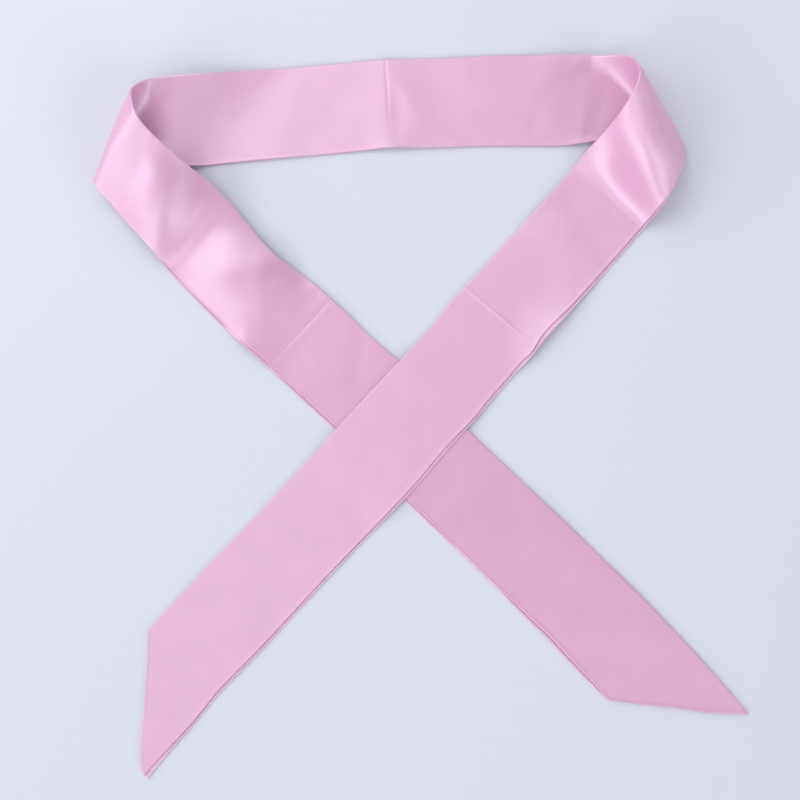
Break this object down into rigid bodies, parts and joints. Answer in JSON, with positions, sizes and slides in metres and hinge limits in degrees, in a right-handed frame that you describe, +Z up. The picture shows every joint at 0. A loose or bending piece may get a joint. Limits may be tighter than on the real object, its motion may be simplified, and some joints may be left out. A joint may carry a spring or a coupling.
{
  "type": "skinny scarf",
  "caption": "Narrow satin scarf lying in a loop with crossed tails: a flat double-layer strip with slanted sewn ends, soft turns and pressed creases.",
  "frame": {"origin": "middle of the scarf's plan outline, on the surface it lies on", "axes": "+Z up from that surface, +Y towards the band across the back, +X to the right"},
  "size_m": [0.3484, 0.3898, 0.0363],
  "materials": {
    "satin": "pale pink satin with a soft sheen"
  },
  "bodies": {
    "root": {"left_tail": "satin", "left_turn": "satin", "neck_band": "satin", "right_turn": "satin", "right_tail": "satin"}
  },
  "joints": []
}
